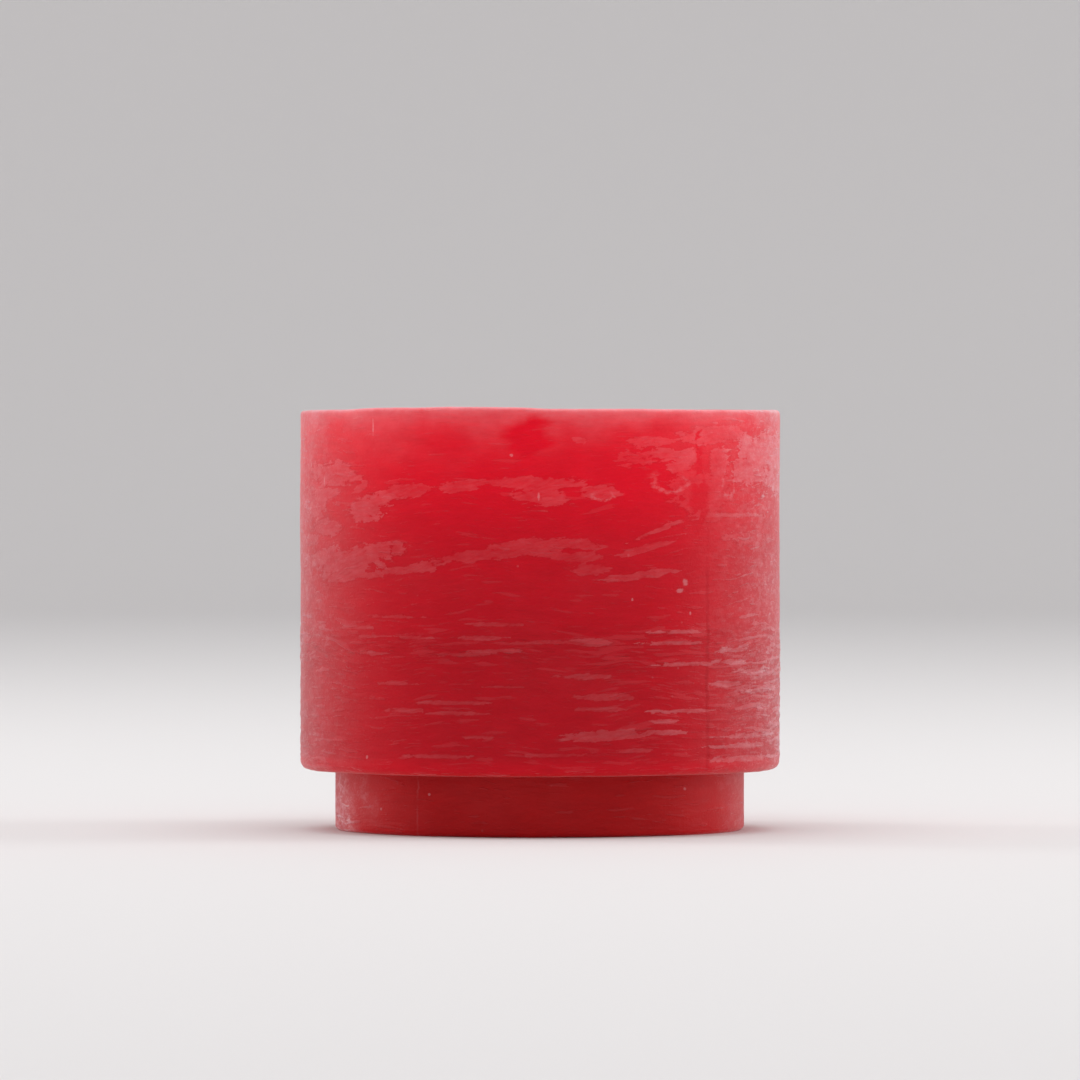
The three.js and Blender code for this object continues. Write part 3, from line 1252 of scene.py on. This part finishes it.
        # painted sheen with the frosting: paler towards the sides, more so on the right
        right = ramp(degrees, 28, 84) ** 1.3 * (0.22 + 0.78 * ramp(degrees, 150, 92))
        left = ramp(degrees, -38, -90) ** 1.2 * (0.30 + 0.70 * ramp(degrees, -150, -95))
        on_drum = (right * 1.20 + left * 0.98) * (0.75 + 0.35 * self.cloudy)
        uneven = degrees + 16 * self.cloudy
        on_foot = ramp(uneven, 50, 84) * 0.75 + ramp(uneven, -56, -80) * 1.9
        on_foot = on_foot * ramp(np.abs(degrees), 165, 95)
        return np.clip(on_drum * self.wall + on_foot * self.foot, 0, 1.8)

    def film_sheen_and_highlight(self, bloom: np.ndarray) -> np.ndarray:
        """The thin pale film, with painted sheen and a painted highlight.

        Args:
            bloom: the frosting and painted sheen towards the sides.

        Returns:
            The film at each point: a painted highlight along the rim over the rim's own frosting, a film
                over the top of the wall, and the frosting and painted sheen towards the sides.
        """
        below = self.rim_height / MM - self.millimetres
        depth = 2.1 * np.clip(1 + 0.7 * self.cloudy, 0.5, 1.8)
        # painted highlight: the pale band and thin line along the rim stand in for light on its rounded
        # edge, over its own frosting
        rim = 0.22 * np.exp(-np.clip(below, 0, None) / depth) + 0.16 * np.exp(-((below / 0.45) ** 2))
        upper = 0.020 * ramp(self.millimetres, 69, 77) * (0.6 + np.clip(self.cloudy + 0.3, 0, 1))
        return rim * self.wall + upper * self.wall + bloom * 0.082 + np.clip(self.cloudy, 0, 1) * 0.006

    def glow(self, clear: np.ndarray) -> np.ndarray:
        """How strongly painted glow lights the wax, most of all on the front under the rim: emission that
        stands in for light shining through the wax.

        Args:
            clear: how strongly clear wax covers each point.

        Returns:
            The painted glow at each point.
        """
        level, off_front = self.millimetres, np.abs(self.degrees)
        # painted glow: brightest under the rim, with painted light on the drum's lower lip, lower sides,
        # foot sides and clear spots
        glow = np.clip((level - 34) / 46, 0, 1) ** 1.5 * (1 - 0.8 * ramp(off_front, 40, 82))
        glow = glow + 0.6 * ramp(level, 16.0, 13.5) * self.wall
        front = np.exp(-(((level - 71.5) / 7.0) ** 2)) * ramp(off_front, 55, 20)
        sides = ramp(off_front, 15, 45) * (1 - 0.7 * ramp(self.degrees, -60, -82))
        glow = glow + (0.62 * front + (0.16 + 0.34 * sides) * ramp(level, 54, 40)) * self.wall
        glow = glow + self.foot * ramp(off_front, 25, 70) * 0.8
        return glow + clear * ramp(level, 70, 76) * 0.30

    def fields(self) -> dict[str, np.ndarray]:
        """What the wax material reads at each point."""
        cloud, clear, milk = self.covers()
        bare = 1 - clear
        # frosting and painted sheen towards the sides
        bloom = self.bloom() * bare
        socket_film = 0.03 + np.clip(self.cloudy + 0.3, 0, 1) * 0.05
        socket_cloud = np.clip(self.cloudy, 0, 1) * 0.5
        return {
            "film": np.where(self.inside, socket_film, self.film_sheen_and_highlight(bloom) * bare),
            "cloud": np.where(self.inside, socket_cloud, cloud * (0.2 + 0.8 * bare)),
            "milk": np.where(self.inside, 0.9, milk),
            "streak": self.wrinkle_density() * (0.5 + 0.5 * ramp(self.wrinkles(), -0.2, 0.8)),
            "bloom": bloom,
            # painted glow, read as emission
            "glow": self.glow(clear),
            "outside": np.broadcast_to(np.maximum(self.wall, self.foot), self.angle.shape),
        }

    def build(self) -> bpy.types.Object:
        """Makes the casting."""
        points = self.turned.grid(self.proud())
        points[..., 2] += np.where(self.height > self.foot_height, self.rim_wave(), 0.0)
        piece = self.turned.piece("wax_casting", points, self.fields())
        finish = RedWax(self.drum_radius, self.foot_radius, self.foot_height).material()
        dress(piece, finish, "holder", "wax_body")
        return piece


# ---------------------------------------------------------------------------------------------
# The glass insert and the tea light
# ---------------------------------------------------------------------------------------------


@dataclass
class GlassInsert:
    """The flanged glass cup that hangs in the casting's pocket."""

    base: float
    top: float
    flange_radius: float
    flange_width: float = 4 * MM
    flange_thickness: float = 2 * MM
    wall: float = 2.2 * MM
    floor: float = 3 * MM
    columns: int = 128

    def build(self) -> bpy.types.Object:
        """Makes the cup."""
        outer = self.flange_radius - self.flange_width
        inner = outer - self.wall
        flange_foot = self.top - self.flange_thickness
        edge, turn = 0.6 * MM, 2 * MM
        corners = [
            Corner(0.0, self.base, spacing=5 * MM),
            Corner(outer, self.base, turn, 3 * MM),
            Corner(outer, flange_foot, 0.4 * MM),
            Corner(self.flange_radius, flange_foot, edge),
            Corner(self.flange_radius, self.top, edge),
            Corner(inner, self.top, edge, 3 * MM),
            Corner(inner, self.base + self.floor, turn, 5 * MM),
            Corner(0.0, self.base + self.floor),
        ]
        turned = Turned(corners, self.columns)
        piece = turned.piece("glass_insert", turned.grid())
        dress(piece, ClearGlass().material(), "glass", "glass_cup")
        return piece


@dataclass
class TealightCup:
    """The tea light's drawn aluminium cup, with a rolled rim and the fine pleats of its drawing."""

    base: float
    top: float
    rim_radius: float
    bead: float = 1 * MM
    taper: float = 0.9 * MM
    wall: float = 0.3 * MM
    dome: float = 0.35 * MM
    pleats: int = 46
    columns: int = 368
    seed: int = 5

    def pleating(self, turned: Turned) -> np.ndarray:
        """How far the pleats move each point of the wall, in metres.

        Args:
            turned: the cup's shape.

        Returns:
            A distance for each point, the same on both faces of the sheet.
        """
        draw = np.random.default_rng(self.seed)
        angle = turned.angles()[None, :]
        height = turned.outline[:, 1:] - self.base
        on_wall = ramp(height, 1.2 * MM, 3.5 * MM) * ramp(height, 14.0 * MM, 13.2 * MM)
        sizes = 0.6 + 0.4 * np.sin(angle * draw.integers(3, 7) + draw.uniform(0, 6))
        return np.sin(angle * self.pleats) * sizes * 0.05 * MM * on_wall

    def build(self) -> bpy.types.Object:
        """Makes the cup."""
        mouth = self.rim_radius - self.bead
        bottom = mouth - self.taper
        bead_foot = self.top - self.bead
        corners = [
            Corner(0.0, self.base + self.dome, spacing=3 * MM),
            Corner(bottom - 4.0 * MM, self.base + self.dome, 0.3 * MM),
            Corner(bottom - 3.4 * MM, self.base, 0.3 * MM),
            Corner(bottom, self.base, 1.4 * MM, 0.8 * MM),
            Corner(mouth, bead_foot, 0.15 * MM, 0.4 * MM),
            Corner(self.rim_radius, bead_foot, 0.45 * MM, 0.2 * MM),
            Corner(self.rim_radius, self.top, 0.45 * MM, 0.2 * MM),
            Corner(mouth - self.wall, self.top, 0.4 * MM, 0.8 * MM),
            Corner(bottom - self.wall, self.base + self.wall, 1.1 * MM, 0.8 * MM),
            Corner(0.0, self.base + self.wall + 0.08 * MM),
        ]
        turned = Turned(corners, self.columns, arc_rows=5)
        points = turned.grid()
        radius = np.linalg.norm(points[..., :2], axis=2, keepdims=True)
        outward = points[..., :2] / np.maximum(radius, ON_AXIS)
        points[..., :2] += outward * self.pleating(turned)[..., None]
        piece = turned.piece("tealight_cup_shell", points)
        dress(piece, DrawnAluminium().material(), "tealight", "tealight_cup")
        return piece


@dataclass
class TealightWax:
    """The tea light's wax, cast round the wick and its tab."""

    base: float
    top: float
    radius: float
    taper: float = 0.85 * MM
    wick_room: float = 1.0 * MM
    tab_radius: float = 7.8 * MM
    tab_room: float = 0.7 * MM
    neck_radius: float = 1.9 * MM
    neck_room: float = 4.3 * MM
    pool_radius: float = 9 * MM
    columns: int = 160
    seed: int = 3

    def build(self) -> bpy.types.Object:
        """Makes the wax, with a dished top that climbs the wick."""
        neck = self.neck_radius + 0.3 * MM
        corners = [
            Corner(self.tab_radius, self.base, spacing=3 * MM),
            Corner(self.radius - self.taper, self.base, 1.5 * MM, 2 * MM),
            Corner(self.radius, self.top, 0.5 * MM, 0.5 * MM),
            Corner(self.wick_room, self.top, spacing=2 * MM),
            Corner(self.wick_room, self.base + self.neck_room),
            Corner(neck, self.base + self.neck_room, spacing=2 * MM),
            Corner(neck, self.base + self.tab_room, spacing=2 * MM),
            Corner(self.tab_radius, self.base + self.tab_room),
        ]
        turned = Turned(corners, self.columns, closed=True)
        points = turned.grid()
        radius = turned.outline[:, :1]
        on_top = turned.outline[:, 1:] > self.top - 0.05 * MM
        dish = -0.35 * MM * ramp(radius, 16 * MM, 4 * MM)
        dish = dish + 0.55 * MM * np.exp(-((radius / (2.0 * MM)) ** 2))
        ripple = Noise(self.seed).layered(points / (5 * MM), 3) * 0.06 * MM
        ripple = ripple * ramp(radius, 1.5 * MM, 6 * MM)
        points[..., 2] += (dish + ripple) * on_top
        piece = turned.piece("tealight_fuel", points)
        dress(piece, WhiteWax(self.pool_radius).material(), "tealight", "tealight_wax")
        return piece


@dataclass
class Wick:
    """The braided wick: straight in the wax, then leaning over."""

    base: float
    leaves_wax: float
    tip: float
    lean: float
    radius: float = WICK_RADIUS
    sides: int = 30
    steps: int = 150
    strands: int = 3
    seed: int = 7

    def route(self, share: np.ndarray) -> tuple[np.ndarray, np.ndarray]:
        """The wick's middle line.

        Args:
            share: how far along it, from 0 to 1.

        Returns:
            The points, and the direction of the line at each.
        """
        height = self.base + (self.tip - self.base) * share
        free = np.clip((height - self.leaves_wax) / (self.tip - self.leaves_wax), 0, 1)
        points = np.stack([-self.lean * free**2, 0 * height, height], axis=1)
        along = np.gradient(points, axis=0)
        return points, along / np.linalg.norm(along, axis=1, keepdims=True)

    def build(self) -> bpy.types.Object:
        """Makes the wick as a closed tube whose skin follows its braid."""
        share = np.linspace(0, 1, self.steps)
        middle, along = self.route(share)
        across = np.stack([along[:, 2], 0 * share, -along[:, 0]], axis=1)
        depth = np.cross(along, across)
        around = (np.arange(self.sides) * 2 * math.pi / self.sides)[None, :]
        length = ((middle[:, 2] - self.base) / MM)[:, None]
        crossings = [np.abs(np.sin(around * self.strands / 2 + way * length * 2.1)) for way in (1, -1)]
        weave = np.maximum(*crossings)
        ring = np.stack(np.broadcast_arrays(np.sin(around), np.cos(around), length * 1.5), axis=2)
        ragged = Noise(self.seed).layered(ring * 1.5, 2)
        reach = self.radius * (0.82 + 0.18 * weave + 0.05 * ragged)
        reach *= 1 - 0.35 * ramp(share, 0.93, 1.0)[:, None]
        spokes = np.cos(around)[..., None] * across[:, None] + np.sin(around)[..., None] * depth[:, None]
        skin = middle[:, None] + reach[..., None] * spokes
        number = np.arange(self.steps * self.sides).reshape(self.steps, self.sides)
        lower, upper = number[:-1], number[1:]
        quads = np.stack([lower, np.roll(lower, -1, 1), np.roll(upper, -1, 1), upper], axis=2)
        faces = [*quads.reshape(-1, 4).tolist(), number[0][::-1].tolist(), number[-1].tolist()]
        groove = {"groove": (1 - weave).reshape(-1)}
        piece = new_piece("braided_wick", skin.reshape(-1, 3), faces, groove)
        dress(piece, BraidedCotton(self.leaves_wax, self.tip).material(), "tealight", "wick")
        return piece


@dataclass
class WickTab:
    """The tinplate tab that holds the wick: a ribbed disc with a crimped neck."""

    base: float
    top: float
    radius: float
    sheet: float = 0.4 * MM
    neck_inner: float = 1.1 * MM
    neck_wall: float = 0.5 * MM
    columns: int = 96

    def build(self) -> bpy.types.Object:
        """Makes the tab."""
        neck = self.neck_inner + self.neck_wall
        corners = [
            Corner(self.neck_inner, self.base, spacing=0.6 * MM),
            Corner(self.radius, self.base, 0.15 * MM, 0.2 * MM),
            Corner(self.radius, self.base + self.sheet, 0.15 * MM, 0.6 * MM),
            Corner(neck, self.base + self.sheet, 0.2 * MM, 0.5 * MM),
            Corner(neck, self.top, 0.15 * MM, 0.4 * MM),
            Corner(self.neck_inner, self.top, 0.1 * MM, 0.5 * MM),
        ]
        turned = Turned(corners, self.columns, closed=True, arc_rows=3)
        points = turned.grid()
        radius, height = turned.outline[:, :1], turned.outline[:, 1:]
        disc = ramp(radius, neck + 0.6 * MM, neck + 1.4 * MM) * ramp(radius, self.radius, self.radius - MM)
        ribs = np.clip(np.sin(turned.angles()[None, :] * 8), 0, 1) * 0.12 * MM
        points[..., 2] += disc * ribs * (height > self.base + self.sheet / 2)
        piece = turned.piece("wick_tab_plate", points)
        dress(piece, Tinplate().material(), "tealight", "wick_tab")
        return piece


# ---------------------------------------------------------------------------------------------
# The studio
# ---------------------------------------------------------------------------------------------


@dataclass(frozen=True)
class Softbox:
    """A large soft lamp: where it hangs, its sides, its power in watts and its colour."""

    name: str
    place: Colour
    aim: Colour
    width: float
    depth: float
    power: float
    colour: Colour = (1.0, 1.0, 1.0)

    def build(self) -> None:
        """Hangs the lamp."""
        lamp = bpy.data.lights.new(self.name, "AREA")
        lamp.shape = "RECTANGLE"
        lamp.size, lamp.size_y = self.width, self.depth
        lamp.energy = self.power
        lamp.color = self.colour
        hung = bpy.data.objects.new(self.name, lamp)
        hung.location = self.place
        hung.rotation_euler = (Vector(self.aim) - Vector(self.place)).to_track_quat("-Z", "Y").to_euler()
        bpy.context.scene.collection.objects.link(hung)


@dataclass
class Studio:
    """A pale floor that curves up into a low wall all round, soft lamps and an even sky."""

    floor_radius: float = 2.6
    curve: float = 1.0
    wall_height: float = 1.5
    sky: Colour = (0.93, 0.93, 0.95)
    sky_strength: float = 0.62
    lamps: tuple[Softbox, ...] = (
        Softbox("top_softbox", (0.0, -0.1, 2.4), (0.0, 0.0, 0.05), 2.4, 2.4, 30.0),
        Softbox("right_softbox", (1.25, 0.15, 0.55), (0.0, 0.0, 0.05), 0.5, 1.0, 5.0),
        Softbox("left_softbox", (-1.2, 0.45, 0.5), (0.0, 0.0, 0.05), 0.4, 1.0, 4.0),
    )

    def build(self) -> None:
        """Makes the floor, the lamps and the sky."""
        corners = [
            Corner(0.0, 0.0, spacing=0.3),
            Corner(self.floor_radius + self.curve, 0.0, self.curve, 0.3),
            Corner(self.floor_radius + self.curve, self.wall_height),
        ]
        turned = Turned(corners, 96, arc_rows=16)
        floor = turned.piece("studio_floor", turned.grid())
        floor.data.flip_normals()
        floor.data.materials.append(PaleBoard().material())
        for lamp in self.lamps:
            lamp.build()
        world = bpy.data.worlds.new("even_sky")
        world.use_nodes = True
        sky = world.node_tree.nodes["Background"]
        sky.inputs["Color"].default_value = (*self.sky, 1.0)
        sky.inputs["Strength"].default_value = self.sky_strength
        bpy.context.scene.world = world
        bpy.context.scene.view_settings.view_transform = "Standard"
        LOG.info("studio: floor, %d softboxes and an even sky", len(self.lamps))


@dataclass
class ViewCamera:
    """A long lens, level with the upper part of the drum."""

    distance: float = 1.616
    height: float = 69.8 * MM
    pitch: float = -0.443
    lens: float = 271.7
    sensor: float = 36.0

    def build(self) -> None:
        """Sets the camera up and makes it the scene's own."""
        optics = bpy.data.cameras.new("view_camera")
        optics.lens = self.lens
        optics.sensor_width = self.sensor
        optics.clip_start, optics.clip_end = 0.05, 20.0
        camera = bpy.data.objects.new("view_camera", optics)
        camera.location = (0.0, -self.distance, self.height)
        camera.rotation_euler = (math.radians(90 + self.pitch), 0.0, 0.0)
        bpy.context.scene.collection.objects.link(camera)
        bpy.context.scene.camera = camera
        LOG.info("camera: %.1f mm lens at %.3f m", self.lens, self.distance)


def mount_height(name: str) -> float:
    """The height of one of the part's mounts."""
    return next(m["pos_m"][2] for m in frame["record"]["mounts"] if m["name"] == name)


def main() -> None:
    """Builds the studio and the holder, one sub-assembly after another."""
    logging.basicConfig(level=logging.INFO, format="%(name)s: %(message)s")
    ViewCamera().build()
    Studio().build()

    wax_low, wax_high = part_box("wax_body")
    glass_low, glass_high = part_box("glass_cup")
    cup_low, cup_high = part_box("tealight_cup")
    fuel_low, fuel_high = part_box("tealight_wax")
    wick_low, wick_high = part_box("wick")
    tab_low, tab_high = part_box("wick_tab")

    glass = GlassInsert(glass_low.z, glass_high.z, glass_high.x)
    WaxCasting(
        drum_radius=wax_high.x,
        rim_height=wax_high.z,
        foot_height=mount_height("shoulder"),
        socket_floor=mount_height("socket_floor"),
        flange_radius=glass.flange_radius,
        flange_foot=glass.top - glass.flange_thickness - SEAT_GAP,
        pocket_floor=glass.base - POCKET_GAP,
        glass_radius=glass.flange_radius - glass.flange_width,
    ).build()
    glass.build()
    TealightCup(cup_low.z, cup_high.z, cup_high.x).build()
    TealightWax(fuel_low.z, fuel_high.z, fuel_high.x).build()
    Wick(wick_low.z, fuel_high.z, wick_high.z, -wick_low.x - WICK_RADIUS).build()
    WickTab(tab_low.z, tab_high.z, tab_high.x).build()


if __name__ == "__main__":
    main()
